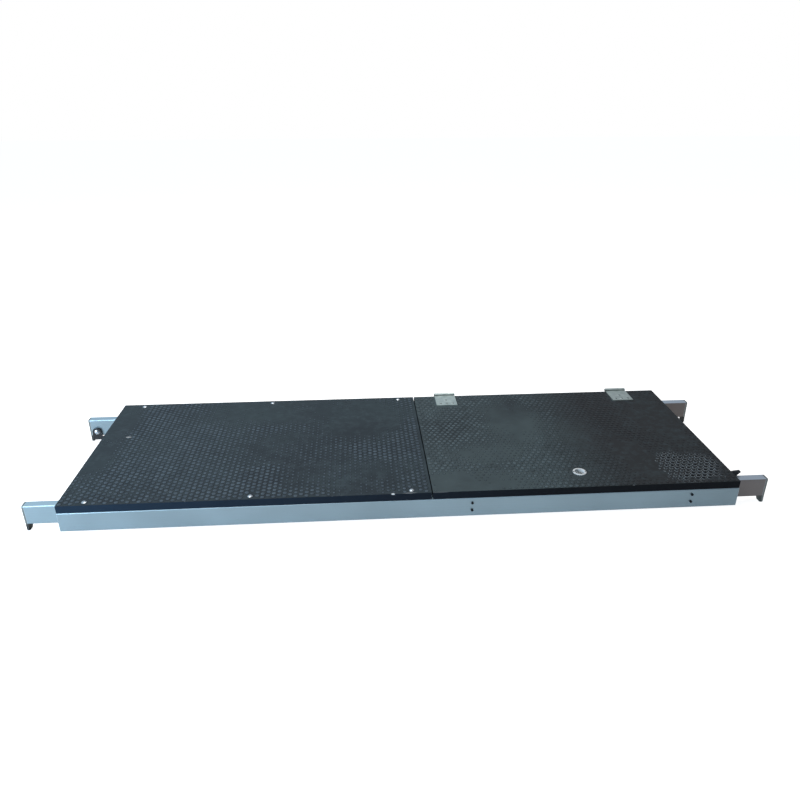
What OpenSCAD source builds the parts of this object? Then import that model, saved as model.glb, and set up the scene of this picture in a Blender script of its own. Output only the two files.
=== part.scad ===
// Hook-on scaffold platform with a hinged trapdoor.
// +X runs along the deck, +Y to the hinge side, +Z up. The origin lies under the
// middle of the deck, at the height of the hook lips' lowest face. Millimetres.

/* [Deck] */
// Length of the deck, end to end
deck_length = 1780; // [1500:10:2600]
// Width of the platform over its two side beams
deck_width = 600; // [460:5:900]
// Thickness of the plywood boards
board_thickness = 21; // [15:0.5:30]
// Length of the fixed board, from the left end
fixed_board_length = 953; // [700:0.5:1050]
// Open joint between the fixed board and the trapdoor
board_gap = 3; // [2:0.5:8]
// How far the boards' long edges stand back from the beams' outer faces
edge_setback = 1.5; // [1:0.5:5]

/* [Side beams] */
// Width of a side beam
beam_width = 40; // [30:1:60]
// Height of a side beam
beam_height = 55; // [52:1:90]
// Wall of a side beam
beam_wall = 2.5; // [2:0.25:4]
// Outer corner radius of a side beam
beam_corner = 2.5; // [1:0.5:4]

/* [Cross-members] */
// Width of a cross-member
member_width = 30; // [24:1:50]
// Height of a cross-member
member_height = 50; // [46:1:52]
// Wall of a cross-member
member_wall = 2; // [1.5:0.25:3]
// Width of the cross-member under the joint between the boards
joint_member_width = 60; // [50:1:100]
// Outer corner radius of a cross-member
member_corner = 2; // [1:0.5:3]
// Distance from a deck end to the middle of the nearest cross-member
end_member_inset = 128; // [90:1:200]
// Clear length of the hatch between its two cross-members
hatch_length = 562; // [450:1:600]
// Depth of the upper screw line below the beams' top
upper_screw_drop = 14; // [12:0.5:18]
// Depth of the lower screw line below the beams' top
lower_screw_drop = 36; // [30:0.5:38]

/* [Hook arms] */
// Width of a hook arm
arm_width = 25; // [20:1:40]
// Height of a hook arm
arm_height = 55; // [45:1:80]
// Wall of a hook arm
arm_wall = 2.5; // [2:0.25:4]
// Outer corner radius of a hook arm
arm_corner = 3; // [1:0.5:5]
// How far a hook arm reaches beyond the deck end
arm_reach = 103; // [103:1:160]
// Thickness of the plate that closes an arm and carries the lip
hook_plate = 5; // [4:0.5:8]
// How far the lip reaches below the arm
lip_drop = 22; // [18:1:40]
// Corner radius at the bottom of the lip
lip_corner = 7; // [4:0.5:9]
// Diameter of the scaffold rung that the hooks take
rung_diameter = 48.3; // [42:0.1:51]

/* [Wind locks] */
// Distance from the arm's end to the lever's pivot
pivot_inset = 23; // [20:1:30]
// Height of the pivot above the arm's lower face
pivot_height = 15; // [14.5:0.5:20]
// Thickness of the lever
lever_thickness = 6; // [4:0.5:10]
// Radius of the round boss about the pivot
lever_boss_radius = 14; // [12:0.5:14]
// Height of the lever's straight limb
lever_limb = 10; // [8:0.5:14]
// Space between the locked lever and the rung
lever_clearance = 0.6; // [0.3:0.1:2]
// Thickness of the claw's beak at its tip
beak_thickness = 7; // [5:0.5:9]
// How far the beak rises above the limb
beak_rise = 15; // [6:0.5:15]
// How far the claw's heel stands out beyond the beak's inner edge
heel_reach = 18; // [14:0.5:19]
// Diameter of the pivot rivet's shank
pivot_diameter = 8; // [6:0.5:10]
// Diameter of the pivot rivet's head
pivot_head = 16; // [12:0.5:18]
// Thickness of the friction washer behind the lever
washer_thickness = 0.8; // [0.5:0.1:2]
// Angle at which the front right lever is stored, above the parked one
raised_angle = 50; // [0:1:120]

/* [Hinges] */
// Width of a hinge
hinge_width = 68; // [50:1:80]
// Reach of the leaf over the trapdoor, from the board's rear edge
leaf_reach = 76; // [60:1:90]
// Reach of the fixed leaf below the beam's top
leaf_drop = 48; // [44:1:50]
// Thickness of both leaves
leaf_thickness = 2.5; // [2:0.25:4]
// Outer radius of the knuckles
knuckle_radius = 5.5; // [4.5:0.25:8]
// Diameter of the hinge pin
pin_diameter = 5; // [4:0.25:6]
// Gap between neighbouring knuckles
knuckle_gap = 0.6; // [0.3:0.1:1.5]

/* [Fasteners and finger hole] */
// Distance of the board rivets from the platform's long sides
rivet_inset = 17; // [12:0.5:30]
// Distance of the first rivet from the fixed board's left end
rivet_left_distance = 67; // [30:1:120]
// Distance of the last rivet from the fixed board's right end
rivet_right_distance = 51.5; // [30:0.5:120]
// Diameter of a board rivet's head
rivet_head = 13; // [9:0.5:16]
// Depth to which a board rivet's head beds into the board
rivet_bedding = 0.3; // [0.1:0.1:0.8]
// Diameter of a board rivet's shank
rivet_shank = 6.4; // [4:0.1:8]
// Diameter of a cross-member screw's shank
screw_shank = 4.8; // [4:0.1:6]
// Diameter of a cross-member screw's head
screw_head = 7; // [7:0.5:12]
// How far a cross-member screw bites into the member
screw_bite = 25; // [15:1:60]
// Diameter of the finger hole through its lining
finger_bore = 26; // [22:0.5:40]
// Wall of the finger hole's lining
ring_wall = 2; // [1.5:0.25:3]
// Width of the lining's flange
ring_flange = 3.2; // [2.8:0.1:6]
// Distance of the finger hole from the trapdoor's right end
finger_inset_x = 414; // [200:1:600]
// Distance of the finger hole from the platform's front side
finger_inset_y = 77; // [60:1:200]

/* [Hidden] */

// Clearances
hole_clearance = 0.2;
running_clearance = 0.05;
fit_gap = 0.1;
cut = 1;

// Levels
arm_bottom = lip_drop;
frame_top = arm_bottom + arm_height;
deck_top = frame_top + board_thickness;

// Places along the platform
end_x = deck_length / 2;
arm_end_x = end_x + arm_reach;
member_end_x = end_x - end_member_inset;
joint_x = -end_x + fixed_board_length + board_gap / 2;
middle_x = (joint_x - member_end_x) / 2;
hatch_left_x = member_end_x - member_width - hatch_length;
hatch_right_x = member_end_x;
trapdoor_left_x = -end_x + fixed_board_length + board_gap;
hinge_places = [hatch_left_x, hatch_right_x];
rivet_first_x = -end_x + rivet_left_distance;
rivet_last_x = -end_x + fixed_board_length - rivet_right_distance;
rivet_places = [rivet_first_x, (rivet_first_x + rivet_last_x) / 2, rivet_last_x];

// Places across the platform
side_y = deck_width / 2;
beam_inner_y = side_y - beam_width;
arm_inner_y = beam_inner_y - arm_width;
board_edge_y = side_y - edge_setback;
rivet_y = side_y - rivet_inset;

// Screws
screw_drops = [upper_screw_drop, lower_screw_drop];
screw_hole = screw_shank + 2 * hole_clearance;
screw_head_height = 3;
port_wall = 2.5;
port_bore = screw_shank + 2 * fit_gap;

// Hinges
hinge_y = side_y + knuckle_radius;
hinge_z = deck_top + leaf_thickness;
knuckle_length = (hinge_width - 2 * knuckle_gap) / 3;
knuckle_bore = pin_diameter + 2 * running_clearance;
leaf_screw_rows = [0.5, 0.83];
leaf_screw_spread = 0.3 * hinge_width;
leaf_screw_shank = 4.2;
leaf_screw_head = 8.4;
leaf_screw_length = 16;

// Finger hole
finger_x = end_x - finger_inset_x;
finger_y = -side_y + finger_inset_y;
ring_outer = finger_bore + 2 * ring_wall;
ring_thickness = 1.6;
ring_screw_shank = 2.4;
ring_screw_head = 4.2;
ring_screw_length = 10;

// Wind locks: u runs inboard from the pivot, w runs up
pivot_x = arm_end_x - pivot_inset;
pivot_z = arm_bottom + pivot_height;
rung_u = rung_diameter / 2 + pivot_height;
rung_w = hook_plate + rung_diameter / 2 - pivot_inset;
swing_radius = norm([rung_u, rung_w]) + rung_diameter / 2 + lever_clearance;
limb_top = -pivot_height - 1;
lever_inner_y = arm_inner_y - washer_thickness - fit_gap;
pivot_bore = pivot_diameter + 2 * running_clearance;
pivot_head_height = 3.5;

$fn = 48;

// A rectangle with round corners, centred on x and standing on y = 0
module round_rect(w, h, r) {
  translate([-w / 2 + r, 0]) square([w - 2 * r, h]);
  translate([-w / 2, r]) square([w, h - 2 * r]);
  for (x = [-w / 2 + r, w / 2 - r])
    for (y = [r, h - r])
      translate([x, y]) circle(r);
}

// The section of a box tube, standing like round_rect
module tube_section(w, h, r, wall) {
  difference() {
    round_rect(w, h, r);
    translate([-w / 2 + wall, wall]) square([w - 2 * wall, h - 2 * wall]);
  }
}

// A domed head or rivet turned about its axis, sitting on z = 0
module dome(diameter, height) {
  sphere_radius = (diameter * diameter / 4 + height * height) / (2 * height);
  intersection() {
    translate([0, 0, height - sphere_radius]) sphere(sphere_radius, $fn = 64);
    cylinder(d = diameter, h = height);
  }
}

// Side beam: side is -1 at the front and 1 at the rear
module beam(side) {
  color("lightsteelblue")
  difference() {
    translate([-end_x, side * (side_y - beam_width / 2), frame_top - beam_height])
      rotate([90, 0, 90])
        linear_extrude(deck_length)
          tube_section(beam_width, beam_height, beam_corner, beam_wall);
    for (x = hinge_places)
      for (drop = screw_drops)
        translate([x, side * side_y, frame_top - drop])
          rotate([90, 0, 0])
            cylinder(d = screw_hole, h = 2 * beam_width + 2 * cut, center = true);
    for (x = rivet_places)
      translate([x, side * rivet_y, frame_top - beam_wall - cut])
        cylinder(d = rivet_shank + 2 * hole_clearance, h = beam_wall + 2 * cut);
  }
}

module beam_front() { beam(-1); }
module beam_rear() { beam(1); }

// Cross-member: a box tube between the beams, top level with theirs
module member(x, width, ported) {
  color("silver")
  translate([x, beam_inner_y, frame_top - member_height])
    rotate([90, 0, 0])
      linear_extrude(2 * beam_inner_y)
        difference() {
          union() {
            tube_section(width, member_height, member_corner, member_wall);
            if (ported)
              for (drop = screw_drops) {
                translate([0, member_height - drop]) circle(d = port_bore + 2 * port_wall);
                translate([-width / 2 + member_wall / 2, member_height - drop - member_wall / 2])
                  square([width - member_wall, member_wall]);
              }
          }
          if (ported)
            for (drop = screw_drops)
              translate([0, member_height - drop]) circle(d = port_bore);
        }
}

module end_member() { member(-member_end_x, member_width, false); }
module middle_member() { member(middle_x, member_width, false); }
module joint_member() { member(joint_x, joint_member_width, false); }
module hatch_member_left() { member(hatch_left_x, member_width, true); }
module hatch_member_right() { member(hatch_right_x, member_width, true); }

// Puts a right end, rear piece at any of the four corners
module at_corner(end, side) {
  mirror([end < 0 ? 1 : 0, 0, 0])
    mirror([0, side < 0 ? 1 : 0, 0])
      children();
}

// Hook arm, from the nearest cross-member out to the hook plate
module arm(locked) {
  inner_x = member_end_x + member_width / 2;
  color("lightsteelblue")
  difference() {
    translate([inner_x, beam_inner_y - arm_width / 2, arm_bottom])
      rotate([90, 0, 90])
        linear_extrude(arm_end_x - hook_plate - inner_x)
          tube_section(arm_width, arm_height, arm_corner, arm_wall);
    if (locked)
      translate([pivot_x, arm_inner_y + arm_wall + cut, pivot_z])
        rotate([90, 0, 0])
          cylinder(d = pivot_diameter + 2 * hole_clearance, h = arm_wall + 2 * cut);
  }
}

module arm_front_left() { at_corner(-1, -1) arm(false); }
module arm_rear_left() { at_corner(-1, 1) arm(true); }
module arm_front_right() { at_corner(1, -1) arm(true); }
module arm_rear_right() { at_corner(1, 1) arm(false); }

// Outline of the lip seen from the end, up to a level
module lip_outline(top) {
  translate([-arm_width / 2 + lip_corner, 0]) square([arm_width - 2 * lip_corner, top]);
  translate([-arm_width / 2, lip_corner]) square([arm_width, top - lip_corner]);
  for (y = [-arm_width / 2 + lip_corner, arm_width / 2 - lip_corner])
    translate([y, lip_corner]) circle(lip_corner);
}

// Hook plate: closes the arm and runs down as the lip
module hook() {
  color("gainsboro")
  translate([arm_end_x - hook_plate, beam_inner_y - arm_width / 2, 0])
    rotate([90, 0, 90])
      linear_extrude(hook_plate) {
        translate([0, arm_bottom]) round_rect(arm_width, arm_height, arm_corner);
        lip_outline(arm_bottom + arm_corner);
      }
}

module hook_front_left() { at_corner(-1, -1) hook(); }
module hook_rear_left() { at_corner(-1, 1) hook(); }
module hook_front_right() { at_corner(1, -1) hook(); }
module hook_rear_right() { at_corner(1, 1) hook(); }

// Fixed board, riveted down to both beams
module fixed_board() {
  color("darkslategray")
  difference() {
    translate([-end_x, -board_edge_y, frame_top])
      cube([fixed_board_length, 2 * board_edge_y, board_thickness]);
    for (x = rivet_places)
      for (y = [-rivet_y, rivet_y]) {
        translate([x, y, frame_top - cut])
          cylinder(d = rivet_shank + 2 * hole_clearance, h = board_thickness + 2 * cut);
        translate([x, y, deck_top - rivet_bedding])
          cylinder(d = rivet_head + 2 * hole_clearance, h = rivet_bedding + cut);
      }
  }
}

// Rivets: a domed head on the board and a set tail under the beam's top wall
module board_rivets() {
  grip = board_thickness - rivet_bedding + beam_wall;
  tail_height = 5;
  color("silver")
  for (x = rivet_places)
    for (y = [-rivet_y, rivet_y])
      translate([x, y, deck_top - rivet_bedding]) {
        dome(rivet_head, 2.2 + rivet_bedding);
        translate([0, 0, -grip - tail_height / 2]) cylinder(d = rivet_shank, h = grip + tail_height);
        translate([0, 0, -grip - tail_height]) cylinder(d = 1.5 * rivet_shank, h = tail_height);
      }
}

// One screw through a beam into a cross-member's port; lift is what lies under its head
module member_screw(lift) {
  recess = 0.55 * screw_head;
  translate([0, side_y + lift, 0])
    rotate([-90, 0, 0]) {
      difference() {
        cylinder(d = screw_head, h = screw_head_height);
        translate([0, 0, screw_head_height / 3])
          cylinder(d = recess, h = screw_head_height, $fn = 6);
      }
      translate([0, 0, -beam_width - screw_bite - lift])
        cylinder(d = screw_shank, h = beam_width + screw_bite + lift + screw_head_height / 4);
    }
}

// The screws of both hatch members on one side
module member_screws(side, lift) {
  color("black")
  for (x = hinge_places)
    for (drop = screw_drops)
      translate([x, 0, frame_top - drop])
        mirror([0, side < 0 ? 1 : 0, 0])
          member_screw(lift);
}

module member_screws_front() { member_screws(-1, 0); }
module member_screws_rear() { member_screws(1, leaf_thickness); }

// Knuckles on the hinge axis over a span of x about the hinge's middle
module knuckle(x, length) {
  translate([x - length / 2, hinge_y, hinge_z])
    rotate([0, 90, 0])
      cylinder(r = knuckle_radius, h = length);
}

// Fixed half of a hinge: a leaf on the beam's outer face and two outer knuckles
module hinge_base(x) {
  outer_x = knuckle_length + knuckle_gap;
  leaf_bottom = frame_top - leaf_drop;
  color("silver")
  difference() {
    union() {
      translate([x - hinge_width / 2, side_y, leaf_bottom])
        cube([hinge_width, leaf_thickness, hinge_z - leaf_bottom]);
      for (offset = [-outer_x, outer_x])
        knuckle(x + offset, knuckle_length);
    }
    translate([x - knuckle_length / 2 - knuckle_gap, side_y - cut, frame_top + board_thickness / 2])
      cube([knuckle_length + 2 * knuckle_gap, 2 * knuckle_radius, board_thickness]);
    translate([x - hinge_width / 2 - cut, hinge_y, hinge_z])
      rotate([0, 90, 0])
        cylinder(d = knuckle_bore, h = hinge_width + 2 * cut);
    for (drop = screw_drops)
      translate([x, side_y - cut, frame_top - drop])
        rotate([-90, 0, 0])
          cylinder(d = screw_hole, h = leaf_thickness + 2 * cut);
  }
}

module hinge_base_left() { hinge_base(hatch_left_x); }
module hinge_base_right() { hinge_base(hatch_right_x); }

// Hinge pins, each with a thin head at both ends
module hinge_pins() {
  head_thickness = 1.2;
  color("gainsboro")
  for (x = hinge_places)
    translate([x, hinge_y, hinge_z])
      rotate([0, 90, 0]) {
        cylinder(d = pin_diameter, h = hinge_width + 2 * head_thickness, center = true);
        for (s = [-1, 1])
          translate([0, 0, s * (hinge_width + fit_gap + head_thickness) / 2])
            cylinder(d = 1.5 * pin_diameter, h = head_thickness, center = true);
      }
}

// Trapdoor board, hinged along its rear edge
module trapdoor_board() {
  color("darkslategray")
  difference() {
    translate([trapdoor_left_x, -board_edge_y, frame_top])
      cube([end_x - trapdoor_left_x, 2 * board_edge_y, board_thickness]);
    translate([finger_x, finger_y, frame_top - cut])
      cylinder(d = ring_outer + 2 * fit_gap, h = board_thickness + 2 * cut);
    for (x = hinge_places)
      leaf_screw_holes(x, deck_top - leaf_screw_length - cut);
    ring_screw_holes(deck_top - ring_screw_length - cut);
  }
}

// Where a leaf's screws stand: one behind, three in front, as [x, distance from the rear edge]
function leaf_screw_spots() = [
  [0, leaf_screw_rows[0] * leaf_reach],
  [-leaf_screw_spread, leaf_screw_rows[1] * leaf_reach],
  [0, leaf_screw_rows[1] * leaf_reach],
  [leaf_screw_spread, leaf_screw_rows[1] * leaf_reach]
];

// Pilot holes for a leaf's screws, from a level up through the leaf
module leaf_screw_holes(x, bottom) {
  for (spot = leaf_screw_spots())
    translate([x + spot[0], board_edge_y - spot[1], bottom])
      cylinder(d = leaf_screw_shank + 2 * fit_gap, h = deck_top + leaf_thickness + cut - bottom);
}

// Moving half of a hinge: a leaf on the board and the middle knuckle
module hinge_leaf(x) {
  color("silver")
  difference() {
    union() {
      translate([x - hinge_width / 2, board_edge_y - leaf_reach, deck_top])
        cube([hinge_width, leaf_reach, leaf_thickness]);
      translate([x - knuckle_length / 2, board_edge_y - cut, deck_top])
        cube([knuckle_length, hinge_y - board_edge_y + cut, leaf_thickness]);
      knuckle(x, knuckle_length);
    }
    translate([x - hinge_width / 2, hinge_y, hinge_z])
      rotate([0, 90, 0])
        cylinder(d = knuckle_bore, h = hinge_width);
    leaf_screw_holes(x, deck_top - cut);
  }
}

module hinge_leaf_left() { hinge_leaf(hatch_left_x); }
module hinge_leaf_right() { hinge_leaf(hatch_right_x); }

// Pan-head wood screws of both moving leaves
module hinge_leaf_screws() {
  color("gray")
  for (x = hinge_places)
    for (spot = leaf_screw_spots())
      translate([x + spot[0], board_edge_y - spot[1], deck_top + leaf_thickness]) {
        dome(leaf_screw_head, 1.6);
        translate([0, 0, -leaf_screw_length - leaf_thickness + cut])
          cylinder(d = leaf_screw_shank, h = leaf_screw_length + leaf_thickness);
      }
}

// Where the two screws of the finger hole's flange stand
module ring_screw_holes(bottom) {
  for (s = [-1, 1])
    translate([finger_x + s * (ring_outer + ring_flange) / 2, finger_y, bottom])
      cylinder(d = ring_screw_shank + 2 * fit_gap, h = deck_top + ring_thickness + cut - bottom);
}

// Lining of the finger hole: a tube with a flange on top
module finger_ring() {
  color("silver")
  difference() {
    translate([finger_x, finger_y, 0]) {
      translate([0, 0, frame_top]) cylinder(d = ring_outer, h = board_thickness + cut);
      translate([0, 0, deck_top]) cylinder(d = ring_outer + 2 * ring_flange, h = ring_thickness);
    }
    translate([finger_x, finger_y, frame_top - cut])
      cylinder(d = finger_bore, h = board_thickness + ring_thickness + 2 * cut);
    ring_screw_holes(deck_top - cut);
  }
}

// Two small screws through the lining's flange
module finger_ring_screws() {
  color("dimgray")
  for (s = [-1, 1])
    translate([finger_x + s * (ring_outer + ring_flange) / 2, finger_y, deck_top + ring_thickness]) {
      dome(ring_screw_head, 1);
      translate([0, 0, -ring_screw_length])
        cylinder(d = ring_screw_shank, h = ring_screw_length + cut / 2);
    }
}

// Outline of a lock lever in u and w: boss, limb, and a claw whose inner edge is
// an arc about the pivot, so that it swings round the rung
module lever_outline() {
  end_radius = lever_limb / 2;
  tip_radius = 0.3 * beak_thickness;
  limb_bottom = limb_top - lever_limb;
  heel_u = swing_radius + heel_reach - end_radius;
  tip_w = limb_top + beak_rise;
  difference() {
    union() {
      circle(lever_boss_radius);
      translate([-lever_boss_radius + end_radius, limb_bottom])
        square([lever_boss_radius - end_radius + heel_u, lever_limb]);
      translate([-lever_boss_radius + end_radius, limb_bottom + end_radius]) circle(end_radius);
      translate([-lever_boss_radius, limb_bottom + end_radius])
        square([2 * lever_boss_radius, -limb_bottom - end_radius]);
      difference() {
        hull() {
          translate([heel_u, limb_bottom + end_radius]) circle(end_radius);
          translate([swing_radius + beak_thickness - tip_radius, tip_w - tip_radius])
            circle(tip_radius);
          translate([swing_radius - beak_thickness, tip_w - tip_radius])
            square([beak_thickness, tip_radius]);
          translate([swing_radius - 2 * beak_thickness, limb_bottom + end_radius])
            square([beak_thickness, end_radius]);
        }
        intersection() {
          circle(swing_radius);
          translate([0, limb_top]) square(swing_radius);
        }
      }
    }
    circle(d = pivot_bore);
  }
}

// Lock lever at the right end of a rear arm, turned up from parked by an angle
module wind_lock(angle) {
  color("black")
  translate([pivot_x, lever_inner_y, pivot_z])
    rotate([90, 0, 0])
      linear_extrude(lever_thickness)
        rotate(-angle)
          mirror([1, 0]) lever_outline();
}

module wind_lock_rear_left() { at_corner(-1, 1) wind_lock(0); }
module wind_lock_front_right() { at_corner(1, -1) wind_lock(raised_angle); }

// Rivet that a lever turns on, with its head inboard and its tail in the arm
module pivot_rivet() {
  head_y = lever_inner_y - lever_thickness - fit_gap;
  tail_height = 4;
  mandrel = 0.3 * pivot_head;
  translate([pivot_x, head_y, pivot_z])
    rotate([90, 0, 0])
      difference() {
        dome(pivot_head, pivot_head_height);
        translate([0, 0, pivot_head_height / 3]) cylinder(d = mandrel, h = pivot_head_height);
      }
  translate([pivot_x, arm_inner_y + arm_wall + tail_height, pivot_z])
    rotate([90, 0, 0])
      cylinder(d = pivot_diameter, h = arm_inner_y + arm_wall + tail_height - head_y);
  translate([pivot_x, arm_inner_y + arm_wall + tail_height, pivot_z])
    rotate([90, 0, 0])
      cylinder(d = 1.5 * pivot_diameter, h = tail_height);
}

module wind_lock_rivets() {
  color("silver") {
    at_corner(-1, 1) pivot_rivet();
    at_corner(1, -1) pivot_rivet();
  }
}

// Friction washer between an arm and its lever
module friction_washer() {
  translate([pivot_x, arm_inner_y, pivot_z])
    rotate([90, 0, 0])
      difference() {
        cylinder(d = 2.2 * pivot_diameter, h = washer_thickness);
        translate([0, 0, -cut]) cylinder(d = pivot_bore, h = washer_thickness + 2 * cut);
      }
}

module wind_lock_washers() {
  color("gray") {
    at_corner(-1, 1) friction_washer();
    at_corner(1, -1) friction_washer();
  }
}

beam_front();
beam_rear();
end_member();
middle_member();
joint_member();
hatch_member_left();
hatch_member_right();
arm_front_left();
arm_rear_left();
arm_front_right();
arm_rear_right();
hook_front_left();
hook_rear_left();
hook_front_right();
hook_rear_right();
fixed_board();
board_rivets();
member_screws_front();
member_screws_rear();
hinge_base_left();
hinge_base_right();
hinge_pins();
wind_lock_rivets();
wind_lock_washers();
trapdoor_board();
hinge_leaf_left();
hinge_leaf_right();
hinge_leaf_screws();
finger_ring();
finger_ring_screws();
wind_lock_rear_left();
wind_lock_front_right();
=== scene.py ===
import math
import bpy
from mathutils import Matrix, Vector, noise


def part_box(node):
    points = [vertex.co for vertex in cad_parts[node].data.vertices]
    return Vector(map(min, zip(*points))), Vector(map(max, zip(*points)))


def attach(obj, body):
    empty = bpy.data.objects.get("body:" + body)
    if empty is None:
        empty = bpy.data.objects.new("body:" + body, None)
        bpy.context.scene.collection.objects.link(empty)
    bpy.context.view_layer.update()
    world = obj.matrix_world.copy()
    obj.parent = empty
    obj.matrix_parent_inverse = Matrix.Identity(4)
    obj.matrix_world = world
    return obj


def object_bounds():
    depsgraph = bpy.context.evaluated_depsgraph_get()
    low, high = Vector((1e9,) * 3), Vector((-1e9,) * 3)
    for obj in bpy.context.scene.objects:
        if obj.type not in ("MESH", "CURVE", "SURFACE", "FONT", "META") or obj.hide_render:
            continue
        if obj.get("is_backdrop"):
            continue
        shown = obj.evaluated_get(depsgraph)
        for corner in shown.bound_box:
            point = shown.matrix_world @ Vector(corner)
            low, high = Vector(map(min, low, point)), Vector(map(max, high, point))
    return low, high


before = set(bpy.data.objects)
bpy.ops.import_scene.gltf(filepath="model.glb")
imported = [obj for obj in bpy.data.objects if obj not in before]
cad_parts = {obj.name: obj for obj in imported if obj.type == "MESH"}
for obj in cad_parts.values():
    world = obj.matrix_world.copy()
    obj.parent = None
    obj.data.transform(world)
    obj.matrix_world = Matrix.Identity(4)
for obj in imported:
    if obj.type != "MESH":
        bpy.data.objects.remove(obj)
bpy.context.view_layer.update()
MM = 0.001


# ---- Side beams ----------------------------------------------------------------------------------
# Two box sections that carry the deck, extruded in 6060 aluminium and left mill finished. The die
# leaves fine lines along their length, and years of stacking leave scratches and bright corners.

def linear(code):
    """The linear colour of an sRGB hex code."""
    channels = [int(code[i:i + 2], 16) / 255 for i in (1, 3, 5)]
    return [c / 12.92 if c <= 0.04045 else ((c + 0.055) / 1.055) ** 2.4 for c in channels] + [1.0]


def add(tree, kind, inputs=None, **settings):
    """Adds a shader node. An input is given a value, or a node or socket to link it to."""
    node = tree.nodes.new("ShaderNode" + kind)
    for name, value in settings.items():
        setattr(node, name, value)
    for name, value in (inputs or {}).items():
        if isinstance(value, bpy.types.Node):
            value = value.outputs[0]
        if isinstance(value, bpy.types.NodeSocket):
            tree.links.new(value, node.inputs[name])
        else:
            node.inputs[name].default_value = value
    return node


def start_material(name):
    """A new empty material, given only the coordinates of the piece in metres."""
    material = bpy.data.materials.new(name)
    material.use_nodes = True
    tree = material.node_tree
    tree.nodes.clear()
    return material, tree, add(tree, "TexCoord")


def end_material(tree, shader):
    """Sends the finished shader to the material's output."""
    add(tree, "OutputMaterial", {"Surface": shader})


def edge_mask(tree, width):
    """1 on the outside corners of a piece and 0 on its flats, where handling polishes it."""
    rounded = add(tree, "Bevel", {"Radius": width}, samples=6)
    flat = add(tree, "NewGeometry")
    along = add(tree, "VectorMath", {0: rounded, 1: flat.outputs["Normal"]}, operation="DOT_PRODUCT")
    return add(tree, "MapRange", {
        "Value": along.outputs["Value"], "From Min": 0.99, "From Max": 0.86, "To Min": 0.0, "To Max": 1.0})


def extruded_aluminium(name, length_axis, light, dark, top_highlight=0.0):
    """Mill finish: an even satin with faint lines along the length, bright where it is rubbed on the
    corners and scratches, with a painted highlight on the top face.

    length_axis is the letter of the axis that the lines follow, and top_highlight is how much painted
    highlight lightens the top face, from 0 to 1."""
    material, tree, coords = start_material(name)
    # Die lines are about 0.2 mm apart, drawn 1.4 mm apart so that they show
    fine = 1 / (1.4 * MM)
    long = 1 / (700 * MM)
    stretch = [long if axis == length_axis else fine for axis in "XYZ"]
    squeezed = add(tree, "Mapping", {"Vector": coords.outputs["Object"], "Scale": stretch})
    lines = add(tree, "TexNoise", {"Vector": squeezed, "Scale": 1.0, "Detail": 3.0, "Roughness": 0.65})
    # Oxide dulls the metal in broad soft patches
    clouds = add(tree, "TexNoise", {
        "Vector": coords.outputs["Object"], "Scale": 1 / (240 * MM), "Detail": 2.0, "Roughness": 0.5})
    # Handling scratches, about 45 mm long and drawn 1 mm wide, at a slant to the length
    scratch_long = 1 / (45 * MM)
    scratch_wide = 1 / (1.0 * MM)
    slant = add(tree, "Mapping", {
        "Vector": coords.outputs["Object"], "Rotation": (0.25, 0.35, 0.2),
        "Scale": [scratch_long if axis == length_axis else scratch_wide for axis in "XYZ"]})
    strokes = add(tree, "TexNoise", {"Vector": slant, "Scale": 1.0, "Detail": 1.0})
    scratches = add(tree, "MapRange", {
        "Value": strokes, "From Min": 0.73, "From Max": 0.79, "To Min": 0.0, "To Max": 1.0})
    corners = edge_mask(tree, 2.4 * MM)
    tone = add(tree, "MapRange", {"Value": clouds, "From Min": 0.35, "From Max": 0.65})
    base = add(tree, "MixRGB", {"Fac": tone, "Color1": linear(dark), "Color2": linear(light)})
    streak = add(tree, "MapRange", {
        "Value": lines, "From Min": 0.25, "From Max": 0.75, "To Min": 0.965, "To Max": 1.025})
    streaked = add(tree, "MixRGB", {"Fac": 1.0, "Color1": base, "Color2": streak}, blend_type="MULTIPLY")
    handled = add(tree, "Math", {0: scratches, 1: 0.22}, operation="MULTIPLY")
    polished_edge = add(tree, "Math", {0: corners, 1: 0.85}, operation="MULTIPLY")
    worn = add(tree, "Math", {0: handled, 1: polished_edge}, operation="MAXIMUM")
    facing = add(tree, "SeparateXYZ", {"Vector": coords.outputs["Normal"]})
    # Painted highlight: the top face is made lighter, as if lit from above
    painted_light = add(tree, "MapRange", {
        "Value": facing.outputs["Z"], "From Min": 0.5, "From Max": 0.8,
        "To Min": 0.0, "To Max": top_highlight})
    bright = add(tree, "Math", {0: worn, 1: painted_light}, operation="MAXIMUM")
    colour = add(tree, "MixRGB", {"Fac": bright, "Color1": streaked, "Color2": linear("#dcebf6")})
    rough = add(tree, "MapRange", {
        "Value": clouds, "From Min": 0.35, "From Max": 0.65, "To Min": 0.38, "To Max": 0.44})
    polished = add(tree, "Math", {0: worn, 1: -0.12, 2: rough}, operation="MULTIPLY_ADD")
    relief = add(tree, "Math", {0: scratches, 1: -0.6, 2: lines}, operation="MULTIPLY_ADD")
    bump = add(tree, "Bump", {"Height": relief, "Strength": 0.12, "Distance": 0.05 * MM})
    end_material(tree, add(tree, "BsdfPrincipled", {
        "Base Color": colour, "Metallic": 1.0, "Roughness": polished, "Normal": bump}))
    return material


def dress(node, material, edge):
    """Gives a CAD node its finish, and breaks its sharp edges by that many metres."""
    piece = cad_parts[node]
    for place in piece.material_slots:
        place.material = material
    bevel = piece.modifiers.new("broken_edges", "BEVEL")
    bevel.width = edge
    bevel.segments = 2
    bevel.limit_method = "ANGLE"
    bevel.angle_limit = math.radians(40)
    bevel.use_clamp_overlap = True


# The beams' tops get a faint painted highlight
beam_aluminium = extruded_aluminium(
    "mill_aluminium_along", "X", light="#a9bfc8", dark="#9fb4bd", top_highlight=0.15)
for side in ("front", "rear"):
    dress("beam_" + side, beam_aluminium, edge=0.3 * MM)
beam_low, beam_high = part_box("beam_front")


# ---- Cross-members -------------------------------------------------------------------------------
# Box sections of the same alloy set between the beams: three welded in under the fixed board, and
# two screwed in beside the hatch. They are cut to length, so their lines run across.

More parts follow.
